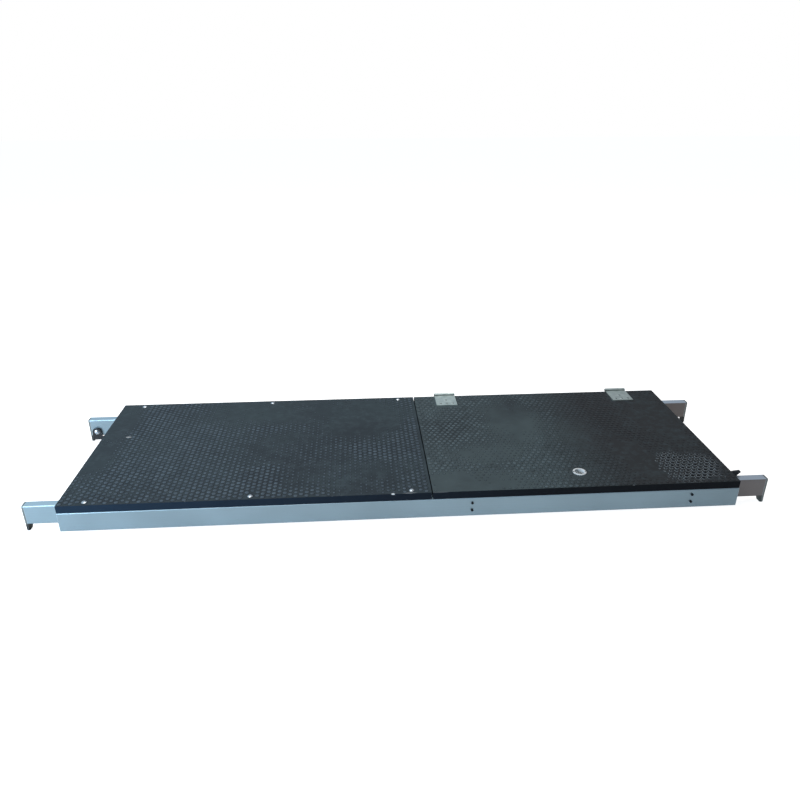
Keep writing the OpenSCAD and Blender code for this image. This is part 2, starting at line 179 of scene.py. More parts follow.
member_aluminium = extruded_aluminium("mill_aluminium_across", "Y", light="#9fabb0", dark="#8f9b9f")
WELDED_MEMBERS = ("end_member", "middle_member", "joint_member")
for member in WELDED_MEMBERS + ("hatch_member_left", "hatch_member_right"):
    dress(member, member_aluminium, edge=0.3 * MM)


# ---- Hook arms -----------------------------------------------------------------------------------
# Four short lengths of box section welded along the inside of the beams, reaching past the deck to rest on
# the scaffold's rungs. The right-hand pair get a darker, browner copy of the aluminium that is painted
# shade, with a strong painted highlight on their tops.

CORNERS = ("front_left", "rear_left", "front_right", "rear_right")
# A darker copy of the aluminium as painted shade, with a strong painted highlight on the tops
shaded_aluminium = extruded_aluminium(
    "shaded_aluminium_along", "X", light="#96918f", dark="#8a8584", top_highlight=0.85)
for corner in CORNERS:
    right = corner.endswith("right")
    dress("arm_" + corner, shaded_aluminium if right else beam_aluminium, edge=0.3 * MM)


# ---- Hook plates ---------------------------------------------------------------------------------
# Sawn and linished aluminium plate, 5 mm thick, welded over each arm's end and running down as the
# lip that hooks over the rung. The linishing belt leaves a coarse cross grain.

def linished_plate(name, arm_bottom):
    """Belt-ground plate: short upright grain, greyer and rougher than the extrusion."""
    material, tree, coords = start_material(name)
    # Belt grain is about 0.3 mm apart, drawn 0.8 mm apart so that it shows
    across = 1 / (0.8 * MM)
    upright = 1 / (14 * MM)
    squeezed = add(tree, "Mapping", {
        "Vector": coords.outputs["Object"], "Scale": (across, across, upright)})
    grain = add(tree, "TexNoise", {"Vector": squeezed, "Scale": 1.0, "Detail": 3.0, "Roughness": 0.7})
    stains = add(tree, "TexNoise", {
        "Vector": coords.outputs["Object"], "Scale": 1 / (18 * MM), "Detail": 3.0})
    corners = edge_mask(tree, 1.0 * MM)
    base = add(tree, "MixRGB", {"Fac": stains, "Color1": linear("#7f8886"), "Color2": linear("#969d9b")})
    shade = add(tree, "MapRange", {
        "Value": grain, "From Min": 0.3, "From Max": 0.7, "To Min": 0.9, "To Max": 1.05})
    ground = add(tree, "MixRGB", {"Fac": 1.0, "Color1": base, "Color2": shade}, blend_type="MULTIPLY")
    # Below the arms three of the lips are darkened with painted shade, all but the front right one
    split = add(tree, "SeparateXYZ", {"Vector": coords.outputs["Object"]})
    low = add(tree, "MapRange", {
        "Value": split.outputs["Z"], "From Min": arm_bottom + MM, "From Max": arm_bottom - MM})
    left = add(tree, "Math", {0: split.outputs["X"], 1: 0.0}, operation="LESS_THAN")
    rear = add(tree, "Math", {0: split.outputs["Y"], 1: 0.0}, operation="GREATER_THAN")
    three = add(tree, "Math", {0: left, 1: rear}, operation="MAXIMUM")
    lip = add(tree, "Math", {0: low, 1: three}, operation="MULTIPLY")
    black = add(tree, "Math", {0: lip, 1: 0.8}, operation="MULTIPLY")
    painted_light = add(tree, "MixRGB", {"Fac": black, "Color1": ground, "Color2": linear("#3a3a3a")})
    worn = add(tree, "Math", {0: corners, 1: 0.35}, operation="MULTIPLY")
    colour = add(tree, "MixRGB", {"Fac": worn, "Color1": painted_light, "Color2": linear("#e2e6e8")})
    rough = add(tree, "MapRange", {
        "Value": stains, "From Min": 0.3, "From Max": 0.7, "To Min": 0.42, "To Max": 0.55})
    bump = add(tree, "Bump", {"Height": grain, "Strength": 0.4, "Distance": 0.08 * MM})
    end_material(tree, add(tree, "BsdfPrincipled", {
        "Base Color": colour, "Metallic": 1.0, "Roughness": rough, "Normal": bump}))
    return material


arm_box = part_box("arm_front_left")
plate_aluminium = linished_plate("linished_aluminium_plate", arm_box[0].z)
for corner in CORNERS:
    dress("hook_" + corner, plate_aluminium, edge=0.5 * MM)


# ---- Weld beads ----------------------------------------------------------------------------------
# Hand-laid MIG fillets where arms and welded cross-members meet the beams. Each is a row of
# overlapping ripples about 2 mm apart, greyer than the metal beside it, with soot in patches.

BEAD = 3.2 * MM
RIPPLE = 2.1 * MM
SLICES_PER_RIPPLE = 5
BEAD_INSET = 3 * MM


def weld_metal(name):
    """Solidified filler: mid grey with an uneven gloss, darkened in patches by soot."""
    material, tree, coords = start_material(name)
    grit = add(tree, "TexNoise", {
        "Vector": coords.outputs["Object"], "Scale": 1 / (1.5 * MM), "Detail": 4.0})
    soot = add(tree, "MapRange", {"Value": grit, "From Min": 0.4, "From Max": 0.65})
    colour = add(tree, "MixRGB", {"Fac": soot, "Color1": linear("#6c7073"), "Color2": linear("#a4a9ad")})
    rough = add(tree, "MapRange", {"Value": grit, "To Min": 0.32, "To Max": 0.5})
    bump = add(tree, "Bump", {"Height": grit, "Strength": 0.4, "Distance": 0.1 * MM})
    end_material(tree, add(tree, "BsdfPrincipled", {
        "Base Color": colour, "Metallic": 1.0, "Roughness": rough, "Normal": bump}))
    return material


def new_piece(name, points, faces, material, body):
    """A mesh piece that rides on a body and takes its finish from a slot."""
    mesh = bpy.data.meshes.new(name)
    mesh.from_pydata(points, [], faces)
    mesh.validate()
    for face in mesh.polygons:
        face.use_smooth = True
    mesh.materials.append(material)
    piece = bpy.data.objects.new(name, mesh)
    bpy.context.scene.collection.objects.link(piece)
    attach(piece, body)


def bead_mesh(start, end, side_a, side_b):
    """Points and faces of one fillet along a corner, between two walls that it lies against."""
    run = Vector(end) - Vector(start)
    length = run.length
    run.normalize()
    side_a = Vector(side_a)
    side_b = Vector(side_b)
    # The root lies just inside the corner, so that no gap shows behind the bead
    root = -0.4 * MM * (side_a + side_b)
    step = RIPPLE / SLICES_PER_RIPPLE
    count = int(length / step)
    arc = 7
    # Shares of the bead's width: its mean reach, how far the ripples and the hand's wobble swing
    # it, how hollow its face is, and how thin it starts and ends
    mean_reach = 0.84
    ripple_swing = 0.12
    hand_swing = 0.06
    hollow = 0.16
    thin_end = 0.45
    points = []
    for i in range(count + 1):
        s = min(i * step, length)
        taper = min(1.0, thin_end + min(s, length - s) / (2 * BEAD))
        points.append(Vector(start) + s * run + root)
        for j in range(arc):
            angle = math.pi / 2 * j / (arc - 1)
            # The middle of a ripple lags behind its two ends, as the pool cools
            lag = 0.35 * RIPPLE * math.sin(2 * angle)
            wave = 0.5 + 0.5 * math.cos(2 * math.pi * (s + lag) / RIPPLE)
            wobble = hand_swing * noise.noise(Vector((s / (9 * MM), start[0] * 40, start[1] * 40)))
            reach = BEAD * taper * (mean_reach + ripple_swing * wave + wobble)
            crown = 1 - hollow * math.sin(2 * angle)
            out = math.cos(angle) * side_a + math.sin(angle) * side_b
            points.append(Vector(start) + s * run + reach * crown * out + 0.3 * root)
    ring = arc + 1
    faces = []
    for i in range(count):
        for j in range(ring):
            k = (j + 1) % ring
            faces.append((i * ring + j, i * ring + k, (i + 1) * ring + k, (i + 1) * ring + j))
    faces.append(tuple(reversed(range(ring))))
    faces.append(tuple(count * ring + j for j in range(ring)))
    return points, faces


def beads(name, runs, material):
    """One piece made of several fillets."""
    points = []
    faces = []
    for run in runs:
        new_points, new_faces = bead_mesh(*run)
        faces += [tuple(i + len(points) for i in face) for face in new_faces]
        points += new_points
    new_piece(name, points, faces, material, "frame")


bead_metal = weld_metal("weld_metal")
for corner in CORNERS:
    low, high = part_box("arm_" + corner)
    out_x = 1 if low.x > 0 else -1
    out_y = 1 if low.y > 0 else -1
    seam_y = high.y if out_y > 0 else low.y
    tip_x = beam_high.x if out_x > 0 else beam_low.x
    heel_x = low.x if out_x > 0 else high.x
    bottom = low.z + BEAD_INSET
    top = high.z - BEAD_INSET
    beads("arm_weld_" + corner, [
        ((tip_x, seam_y, bottom), (tip_x, seam_y, top), (out_x, 0, 0), (0, out_y, 0)),
        ((heel_x, seam_y, bottom), (heel_x, seam_y, top), (-out_x, 0, 0), (0, -out_y, 0)),
    ], bead_metal)
for member in WELDED_MEMBERS:
    low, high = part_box(member)
    bottom = low.z + BEAD_INSET
    top = high.z - BEAD_INSET
    runs = []
    for y, inward in ((low.y, 1), (high.y, -1)):
        for x, outward in ((low.x, -1), (high.x, 1)):
            runs.append(((x, y, bottom), (x, y, top), (outward, 0, 0), (0, inward, 0)))
    beads(member + "_welds", runs, bead_metal)


# ---- Member screws -------------------------------------------------------------------------------
# Button-head socket screws through the beams into the hatch members' screw ports. Black oxide on
# steel: almost black and oily, rubbed to grey round the rim.

def black_oxide(name):
    """Black oxide steel: deep blue-black with a soft oily gloss, grey where a key has rubbed."""
    material, tree, coords = start_material(name)
    film = add(tree, "TexNoise", {
        "Vector": coords.outputs["Object"], "Scale": 1 / (2.5 * MM), "Detail": 3.0})
    corners = edge_mask(tree, 0.5 * MM)
    base = add(tree, "MixRGB", {"Fac": film, "Color1": linear("#131518"), "Color2": linear("#2a2d31")})
    worn = add(tree, "Math", {0: corners, 1: 0.35}, operation="MULTIPLY")
    colour = add(tree, "MixRGB", {"Fac": worn, "Color1": base, "Color2": linear("#6f7378")})
    rough = add(tree, "MapRange", {"Value": film, "To Min": 0.28, "To Max": 0.5})
    bump = add(tree, "Bump", {"Height": film, "Strength": 0.15, "Distance": 0.05 * MM})
    end_material(tree, add(tree, "BsdfPrincipled", {
        "Base Color": colour, "Metallic": 0.8, "Roughness": rough, "Normal": bump}))
    return material


screw_steel = black_oxide("black_oxide_steel")
for side in ("front", "rear"):
    dress("member_screws_" + side, screw_steel, edge=0.15 * MM)


# ---- Fixed board ---------------------------------------------------------------------------------
# Birch plywood, 21 mm, faced with dark phenolic film that a studded platen presses in the hot
# press. Round studs stand in staggered rows, worn away where people walk. Cut edges are painted.

STUD_PITCH = 16.3 * MM
STUD_ROW = STUD_PITCH * math.sqrt(3) / 2
STUD_HEIGHT = 0.85 * MM
STUD_FOOT = 7.2 * MM
# Less than this share of a stud is taken as worn flat
LEAST_STUD = 0.12
BARE_RIM = 8 * MM
VENEERS = 15
board_low, board_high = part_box("fixed_board")
deck_top = board_high.z
PLY = (board_high.z - board_low.z) / VENEERS


def spot_mask(tree, place, ragged, centre, reach, strength):
    """A soft spot round a centre with ragged borders, for chips and scuffs."""
    offset = add(tree, "VectorMath", {0: place, 1: centre}, operation="SUBTRACT")
    scaled = add(tree, "VectorMath", {0: offset, 1: [1 / r for r in reach]}, operation="MULTIPLY")
    length = add(tree, "VectorMath", {0: scaled}, operation="LENGTH")
    # The noise adds to the distance, so the border wanders in and out by a tenth or two of the reach
    broken = add(tree, "Math", {
        0: ragged, 1: 0.9, 2: length.outputs["Value"]}, operation="MULTIPLY_ADD")
    return add(tree, "MapRange", {
        "Value": broken, "From Min": 1.45, "From Max": 1.2, "To Min": 0.0, "To Max": strength})


def cool_light_fade(tree, along, colour):
    """Takes the blue out of a film colour towards the right end of the trapdoor: the blue is painted
    reflection of the cool light from the left, which fades to the right.
    """
    cool_fade_start = 0.4
    cool_fade_full = 0.62
    share = add(tree, "MapRange", {
        "Value": along, "From Min": cool_fade_start, "From Max": cool_fade_full, "To Min": 0.0, "To Max": 0.85})
    return add(tree, "MixRGB", {"Fac": share, "Color1": colour, "Color2": linear("#2c2b2c")})


def film_faced_plywood(name, dark, light, marks):
    """Phenolic film: blue-grey with dust and drag marks; painted edges with chips down to wood."""
    material, tree, coords = start_material(name)
    place = coords.outputs["Object"]
    split = add(tree, "SeparateXYZ", {"Vector": place})
    facing = add(tree, "SeparateXYZ", {"Vector": coords.outputs["Normal"]})
    face = add(tree, "MapRange", {"Value": facing.outputs["Z"], "From Min": 0.35, "From Max": 0.6})
    # Tone and gloss drift over about 260 mm, where boots and rain have dulled the film
    drift = add(tree, "TexNoise", {
        "Vector": place, "Scale": 1 / (260 * MM), "Detail": 3.0, "Roughness": 0.55})
    tone = add(tree, "MapRange", {"Value": drift, "From Min": 0.36, "From Max": 0.64})
    # Paper fibres in the film, drawn 1.6 mm across so that they show
    fibre = add(tree, "TexNoise", {
        "Vector": place, "Scale": 1 / (1.6 * MM), "Detail": 4.0, "Roughness": 0.7})
    grime = add(tree, "TexNoise", {
        "Vector": place, "Scale": 1 / (22 * MM), "Detail": 5.0, "Roughness": 0.65})
    fresh = add(tree, "MixRGB", {"Fac": tone, "Color1": linear(dark), "Color2": linear(light)})
    base = cool_light_fade(tree, split.outputs["X"], fresh)
    dusty = add(tree, "MapRange", {
        "Value": grime, "From Min": 0.46, "From Max": 0.75, "To Min": 0.0, "To Max": 0.4})
    dusted = add(tree, "MixRGB", {"Fac": dusty, "Color1": base, "Color2": linear("#59676c")})
    # Fine scratches from dragged tools, drawn 0.8 mm wide so that they show
    scratch_long = 1 / (60 * MM)
    scratch_wide = 1 / (0.8 * MM)
    drag = add(tree, "Mapping", {
        "Vector": place, "Rotation": (0.0, 0.0, 0.9), "Scale": (scratch_long, scratch_wide, 1.0)})
    strokes = add(tree, "TexNoise", {"Vector": drag, "Scale": 1.0, "Detail": 1.0})
    scratches = add(tree, "MapRange", {
        "Value": strokes, "From Min": 0.72, "From Max": 0.78, "To Min": 0.0, "To Max": 0.35})
    scratched = add(tree, "MixRGB", {"Fac": scratches, "Color1": dusted, "Color2": linear("#84929a")})
    # Painted edges: each veneer is a band across the thickness
    band = add(tree, "Math", {0: split.outputs["Z"], 1: math.pi / PLY}, operation="MULTIPLY")
    wave = add(tree, "Math", {0: band}, operation="SINE")
    plies = add(tree, "MapRange", {"Value": wave, "From Min": -0.4, "From Max": 0.4})
    # The edge paint is near black; the navy towards the left is painted reflection of the cool light from
    # the left
    cool_edge_light = add(tree, "MapRange", {"Value": split.outputs["X"], "From Min": 0.4, "From Max": -0.9})
    paint = add(tree, "MixRGB", {
        "Fac": cool_edge_light, "Color1": linear("#0d1116"), "Color2": linear("#1c2f40")})
    ply_shade = add(tree, "MapRange", {"Value": plies, "To Min": 0.75, "To Max": 1.15})
    sealed = add(tree, "MixRGB", {"Fac": 1.0, "Color1": paint, "Color2": ply_shade}, blend_type="MULTIPLY")
    both = add(tree, "MixRGB", {"Fac": face, "Color1": sealed, "Color2": scratched})
    # Chips along the edges, where the film is knocked off down to pale veneer
    corners = edge_mask(tree, 1.8 * MM)
    knocks = add(tree, "TexNoise", {
        "Vector": place, "Scale": 1 / (11 * MM), "Detail": 4.0, "Roughness": 0.7})
    chipped = add(tree, "MapRange", {"Value": knocks, "From Min": 0.64, "From Max": 0.70})
    chips = add(tree, "Math", {0: corners, 1: chipped}, operation="MULTIPLY")
    for centre, reach, strength in marks:
        spot = spot_mask(tree, place, knocks, centre, reach, strength)
        chips = add(tree, "Math", {0: chips, 1: spot}, operation="MAXIMUM")
    colour = add(tree, "MixRGB", {"Fac": chips, "Color1": both, "Color2": linear("#e9ecec")})
    gloss = add(tree, "MapRange", {
        "Value": drift, "From Min": 0.36, "From Max": 0.64, "To Min": 0.46, "To Max": 0.6})
    rough = add(tree, "Math", {0: dusty, 1: 0.5, 2: gloss}, operation="MULTIPLY_ADD")
    ridges = add(tree, "Math", {0: wave, 1: -0.6}, operation="MULTIPLY")
    relief = add(tree, "MixRGB", {"Fac": face, "Color1": ridges, "Color2": fibre})
    dented = add(tree, "Math", {0: chips, 1: -1.5, 2: relief}, operation="MULTIPLY_ADD")
    bump = add(tree, "Bump", {"Height": dented, "Strength": 0.35, "Distance": 0.15 * MM})
    end_material(tree, add(tree, "BsdfPrincipled", {
        "Base Color": colour, "Roughness": rough, "IOR": 1.5, "Specular IOR Level": 0.14,
        "Normal": bump}))
    return material


def studded_film(name, crown_dark, crown_light, foot_shade, lit_rim_spots):
    """Studs of the film: crowns lighter than the film, a painted highlight, and a dark line round each
    foot, painted shade. Inside the spots given, the painted light is turned round: dark crowns, and a pale
    painted highlight round each foot."""
    material, tree, coords = start_material(name)
    place = coords.outputs["Object"]
    split = add(tree, "SeparateXYZ", {"Vector": place})
    foot_fade = deck_top + 0.42 * MM
    foot_line = deck_top + 0.16 * MM
    foot = add(tree, "MapRange", {
        "Value": split.outputs["Z"], "From Min": foot_fade, "From Max": foot_line})
    grime = add(tree, "TexNoise", {
        "Vector": place, "Scale": 1 / (30 * MM), "Detail": 4.0, "Roughness": 0.6})
    fibre = add(tree, "TexNoise", {
        "Vector": place, "Scale": 1 / (1.6 * MM), "Detail": 3.0, "Roughness": 0.7})
    tone = add(tree, "MapRange", {"Value": grime, "From Min": 0.35, "From Max": 0.65})
    fresh = add(tree, "MixRGB", {"Fac": tone, "Color1": linear(crown_dark), "Color2": linear(crown_light)})
    crown = cool_light_fade(tree, split.outputs["X"], fresh)
    # Painted shade: the foot line is darkened where the stud meets the film
    colour = add(tree, "MixRGB", {"Fac": foot, "Color1": crown, "Color2": linear(foot_shade)})
    # In the spots given the painted light is turned round: the crowns are painted dark as shade, and the
    # feet pale as a highlight
    for centre, reach, strength in lit_rim_spots:
        spot = spot_mask(tree, place, grime, centre, reach, strength)
        lit_rims = add(tree, "MixRGB", {
            "Fac": foot, "Color1": linear("#0d1013"), "Color2": linear("#8d979c")})
        colour = add(tree, "MixRGB", {"Fac": spot, "Color1": colour, "Color2": lit_rims})
    rough = add(tree, "MapRange", {
        "Value": grime, "From Min": 0.35, "From Max": 0.65, "To Min": 0.4, "To Max": 0.6})
    bump = add(tree, "Bump", {"Height": fibre, "Strength": 0.25, "Distance": 0.1 * MM})
    end_material(tree, add(tree, "BsdfPrincipled", {
        "Base Color": colour, "Roughness": rough, "IOR": 1.5, "Specular IOR Level": 0.12,
        "Normal": bump}))
    return material


def stud_wear(x, y, worn_patches):
    """How much of a stud is left at a place: 1 is as pressed and 0 is worn flat.

    A patch is worn to its full depth out to 0.8 of its reach, and fades out at 1.9 of it."""
    fade_end = 1.9
    fade_width = 1.1
    left = 1.0
    for centre_x, centre_y, reach_x, reach_y, depth in worn_patches:
        away = math.hypot((x - centre_x) / reach_x, (y - centre_y) / reach_y)
        left = min(left, 1 - depth * max(0.0, min(1.0, (fade_end - away) / fade_width)))
    # Uneven wear about 100 mm and 28 mm across breaks up the borders of the patches
    broad = noise.noise(Vector((x / (110 * MM), y / (90 * MM), 3.7)))
    close = noise.noise(Vector((x / (28 * MM), y / (28 * MM), 9.1)))
    return left + 0.45 * broad + 0.35 * close


def studs(name, low, high, material, body, row_axis, worn_patches, keep_clear):
    """Low domes in staggered rows that run along X or Y, smaller and flatter where they are worn."""
    around = 10
    # The dome from foot to crown, as shares of its reach and its height
    profile = ((1.0, -0.05), (0.87, 0.14), (0.74, 0.55), (0.45, 0.88))
    run = 1 if row_axis == "Y" else 0
    rows = int((high[1 - run] - low[1 - run] - 2 * BARE_RIM) / STUD_ROW) + 1
    count = int((high[run] - low[run] - 2 * BARE_RIM) / STUD_PITCH) + 1
    points = []
    faces = []
    for row in range(rows):
        for i in range(count):
            spot = [0.0, 0.0]
            spot[run] = low[run] + BARE_RIM + (i + 0.5 * (row % 2)) * STUD_PITCH
            spot[1 - run] = low[1 - run] + BARE_RIM + row * STUD_ROW
            x, y = spot
            inside = x < high.x - BARE_RIM and y < high.y - BARE_RIM
            clear = all(not (a[0] <= x <= b[0] and a[1] <= y <= b[1]) for a, b in keep_clear)
            left = min(1.0, stud_wear(x, y, worn_patches))
            if not (inside and clear and left > LEAST_STUD):
                continue
            base = len(points)
            # A worn stud is lower, and what is left of its crown is narrower
            reach = STUD_FOOT * (0.25 + 0.75 * left)
            height = STUD_HEIGHT * (0.4 + 0.6 * left)
            for share, lift in profile:
                for j in range(around):
                    angle = 2 * math.pi * j / around
                    points.append((
                        x + share * reach * math.cos(angle), y + share * reach * math.sin(angle),
                        deck_top + lift * height))
            points.append((x, y, deck_top + height))
            for ring in range(len(profile) - 1):
                for j in range(around):
                    k = (j + 1) % around
                    a = base + ring * around
                    faces.append((a + j, a + k, a + around + k, a + around + j))
            top = base + (len(profile) - 1) * around
            for j in range(around):
                faces.append((top + j, top + (j + 1) % around, top + around))
    new_piece(name, points, faces, material, body)


def clearance(low, high, margin):
    """The plan area of a box grown by a margin."""
    return (low.x - margin, low.y - margin), (high.x + margin, high.y + margin)


front_edge = board_low.y
# The middle of each mark, its reach along X, Y and Z, and its strength
board_marks = [
    # The film is knocked off the front edge near the joint, and scuffed beside the last rivet
    ((-0.038, front_edge, deck_top), (5.5 * MM, 4 * MM, 3.5 * MM), 1.0),
    ((0.005, front_edge + 2 * MM, deck_top), (20 * MM, 2.5 * MM, 1.5 * MM), 0.2),
    # A short gouge near the left end
    ((-0.813, 0.068, deck_top), (9 * MM, 4 * MM, 3 * MM), 0.5),
]
fixed_film = film_faced_plywood(
    "film_faced_birch_fixed", dark="#272f34", light="#374246", marks=board_marks)
dress("fixed_board", fixed_film, edge=0.6 * MM)
# Where boots have worn the studs away: the middle and reach of each patch, and how deep it goes
board_wear = [
    (-0.865, 0.120, 0.040, 0.230, 1.1),
    (-0.320, 0.220, 0.230, 0.080, 0.95),
    (-0.110, 0.160, 0.100, 0.110, 1.1),
    (-0.330, -0.010, 0.090, 0.090, 0.6),
    (-0.110, -0.230, 0.070, 0.090, 0.7),
    (-0.240, -0.150, 0.080, 0.080, 0.5),
]
rivet_low, rivet_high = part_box("board_rivets")
rivet_radius = 6.5 * MM
rivet_clearance = 12.5 * MM
rivet_inset = rivet_high.y - rivet_radius
rivet_rows = [rivet_low.x + rivet_radius, (rivet_low.x + rivet_high.x) / 2, rivet_high.x - rivet_radius]
rivet_zones = []
for x in rivet_rows:
    for y in (-rivet_inset, rivet_inset):
        middle = Vector((x, y, 0))
        rivet_zones.append(clearance(middle, middle, rivet_clearance))
# Light crowns are painted highlight and the dark foot line is painted shade
fixed_studs = studded_film(
    "studded_film_fixed", crown_dark="#3a454d", crown_light="#56636c", foot_shade="#080b0f",
    lit_rim_spots=[])
studs("fixed_board_studs", board_low, board_high, fixed_studs, "frame", "Y", board_wear, rivet_zones)


# ---- Board rivets --------------------------------------------------------------------------------
# Large-flange pulled rivets, bright aluminium, bedded in the film and set through the beams' top
# walls. Their domes are smooth, with light scuffs from boots.

def scuffed_bright_metal(name, light, dark, low_rough, high_rough):
    """Bright drawn metal: smooth highlight broken by scuffs and dull spots."""
    material, tree, coords = start_material(name)
    scuffs = add(tree, "TexNoise", {
        "Vector": coords.outputs["Object"], "Scale": 1 / (1.8 * MM), "Detail": 4.0, "Roughness": 0.65})
    spots = add(tree, "TexNoise", {
        "Vector": coords.outputs["Object"], "Scale": 1 / (7 * MM), "Detail": 2.0})
    corners = edge_mask(tree, 0.5 * MM)
    tone = add(tree, "MapRange", {"Value": spots, "From Min": 0.35, "From Max": 0.65})
    base = add(tree, "MixRGB", {"Fac": tone, "Color1": linear(dark), "Color2": linear(light)})
    worn = add(tree, "Math", {0: corners, 1: 0.5}, operation="MULTIPLY")
    colour = add(tree, "MixRGB", {"Fac": worn, "Color1": base, "Color2": linear("#eef1f3")})
    rough = add(tree, "MapRange", {
        "Value": scuffs, "From Min": 0.3, "From Max": 0.7, "To Min": low_rough, "To Max": high_rough})
    bump = add(tree, "Bump", {"Height": scuffs, "Strength": 0.2, "Distance": 0.05 * MM})
    end_material(tree, add(tree, "BsdfPrincipled", {
        "Base Color": colour, "Metallic": 1.0, "Roughness": rough, "Normal": bump}))
    return material


rivet_aluminium = scuffed_bright_metal(
    "drawn_rivet_aluminium", light="#d5dadd", dark="#b0b7bc", low_rough=0.24, high_rough=0.42)
dress("board_rivets", rivet_aluminium, edge=0.15 * MM)


# ---- Hinge bases and pins ------------------------------------------------------------------------
# Folded steel butt hinges, zinc plated and gone a milky grey. The fixed leaf is screwed to the
# rear beam, and a steel pin is pushed through the rolled knuckles.

def zinc_plated_steel(name, axis):
    """Zinc plate: pale grey with faint crystal bloom, and painted shade in the crease at the roots of the
    knuckles.
    """
    material, tree, coords = start_material(name)
    offset = add(tree, "VectorMath", {0: coords.outputs["Object"], 1: axis}, operation="SUBTRACT")
    away = add(tree, "SeparateXYZ", {"Vector": offset})
    # Painted shade lies in the crease before the knuckles, 3 to 6 mm in front of the pin's axis
    beside = add(tree, "MapRange", {
        "Value": away.outputs["Y"], "From Min": -2.2 * MM, "From Max": -3.4 * MM})
    near = add(tree, "MapRange", {
        "Value": away.outputs["Y"], "From Min": -6.4 * MM, "From Max": -5.2 * MM})
    within = add(tree, "MapRange", {
        "Value": away.outputs["Z"], "From Min": 2.8 * MM, "From Max": 1.8 * MM})
    root = add(tree, "Math", {0: beside, 1: near}, operation="MULTIPLY")
    in_crease = add(tree, "Math", {0: root, 1: within}, operation="MULTIPLY")
    crease_shade = add(tree, "Math", {0: in_crease, 1: 0.85}, operation="MULTIPLY")
    # Zinc crystals are under 1 mm, drawn 2.2 mm across so that they show
    crystals = add(tree, "TexVoronoi", {
        "Vector": coords.outputs["Object"], "Scale": 1 / (2.2 * MM), "Randomness": 1.0})
    bloom = add(tree, "TexNoise", {
        "Vector": coords.outputs["Object"], "Scale": 1 / (16 * MM), "Detail": 4.0})
    corners = edge_mask(tree, 0.7 * MM)
    milky = add(tree, "MapRange", {"Value": bloom, "From Min": 0.35, "From Max": 0.68})
    base = add(tree, "MixRGB", {"Fac": milky, "Color1": linear("#c3cdc6"), "Color2": linear("#d4ddd5")})
    grains = add(tree, "MapRange", {
        "Value": crystals.outputs["Distance"], "From Min": 0.0, "From Max": 0.8,
        "To Min": 1.02, "To Max": 0.97})
    mottled = add(tree, "MixRGB", {"Fac": 1.0, "Color1": base, "Color2": grains}, blend_type="MULTIPLY")
    worn = add(tree, "Math", {0: corners, 1: 0.5}, operation="MULTIPLY")
    unshaded_zinc = add(tree, "MixRGB", {"Fac": worn, "Color1": mottled, "Color2": linear("#e6ecee")})
    colour = add(tree, "MixRGB", {"Fac": crease_shade, "Color1": unshaded_zinc, "Color2": linear("#272b2b")})
    rough = add(tree, "MapRange", {
        "Value": bloom, "From Min": 0.35, "From Max": 0.68, "To Min": 0.36, "To Max": 0.46})
    bump = add(tree, "Bump", {
        "Height": crystals.outputs["Distance"], "Strength": 0.08, "Distance": 0.05 * MM})
    end_material(tree, add(tree, "BsdfPrincipled", {
        "Base Color": colour, "Metallic": 1.0, "Roughness": rough, "Normal": bump}))
    return material


pin_low, pin_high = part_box("hinge_pins")
hinge_steel = zinc_plated_steel("zinc_plated_steel", (pin_low + pin_high) / 2)
for side in ("left", "right"):
    dress("hinge_base_" + side, hinge_steel, edge=0.3 * MM)
pin_steel = scuffed_bright_metal(
    "plain_steel_pin", light="#b9bdc0", dark="#8f9498", low_rough=0.25, high_rough=0.4)
dress("hinge_pins", pin_steel, edge=0.2 * MM)


# ---- Trapdoor board ------------------------------------------------------------------------------
# The hatch lid, cut from the same film-faced board but turned a quarter, so that its rows of studs
# run along X and those of the fixed board run along Y. The fittings lie on bare film.

lid_low, lid_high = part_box("trapdoor_board")
lid_marks = [
    # Scuffs on the front edge beside the joint
    ((0.085, front_edge, deck_top), (26 * MM, 2 * MM, 2 * MM), 0.08),
]
lid_film = film_faced_plywood(
    "film_faced_birch_trapdoor", dark="#2f3639", light="#4b5759", marks=lid_marks)
dress("trapdoor_board", lid_film, edge=0.6 * MM)
# The same five figures for each patch as on the fixed board
lid_wear = [
    (0.360, 0.120, 0.060, 0.100, 1.1),
    (0.230, -0.100, 0.070, 0.040, 0.8),
    (0.190, -0.255, 0.120, 0.045, 1.0),
    (0.660, -0.160, 0.045, 0.110, 1.0),
    (0.815, 0.110, 0.080, 0.170, 1.0),
    (0.530, -0.020, 0.040, 0.100, 0.6),
]
fitting_clearance = 7 * MM
lid_zones = []
for part in ("hinge_leaf_left", "hinge_leaf_right", "finger_ring"):
    part_low, part_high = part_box(part)
    lid_zones.append(clearance(part_low, part_high, fitting_clearance))
# The middle, reach and strength of the patch by the right end where the studs get dark crowns and pale lit
# rims, painted shade and highlight
lit_rim_patch = ((0.78, -0.21, deck_top), (0.11, 0.09, 0.05), 1.0)
lid_studs = studded_film(
    "studded_film_trapdoor", crown_dark="#3c4649", crown_light="#5d6b70", foot_shade="#0a0d10",
    lit_rim_spots=[lit_rim_patch])
studs("trapdoor_board_studs", lid_low, lid_high, lid_studs, "trapdoor", "X", lid_wear, lid_zones)


# ---- Hinge leaves and screws ---------------------------------------------------------------------
# The moving leaves lie on the trapdoor's film, each held by four countersunk wood screws with the
# same zinc plate, their heads gone duller and darker than the leaves.

for side in ("left", "right"):
    dress("hinge_leaf_" + side, hinge_steel, edge=0.3 * MM)
leaf_screw_steel = scuffed_bright_metal(
    "zinc_plated_screws", light="#8c9490", dark="#747c78", low_rough=0.5, high_rough=0.62)
dress("hinge_leaf_screws", leaf_screw_steel, edge=0.15 * MM)


# ---- Finger ring and screws ----------------------------------------------------------------------
# A flanged liner moulded in pale grey plastic and let into the finger hole, held by two small
# black screws. Fingers and grit have dulled it.

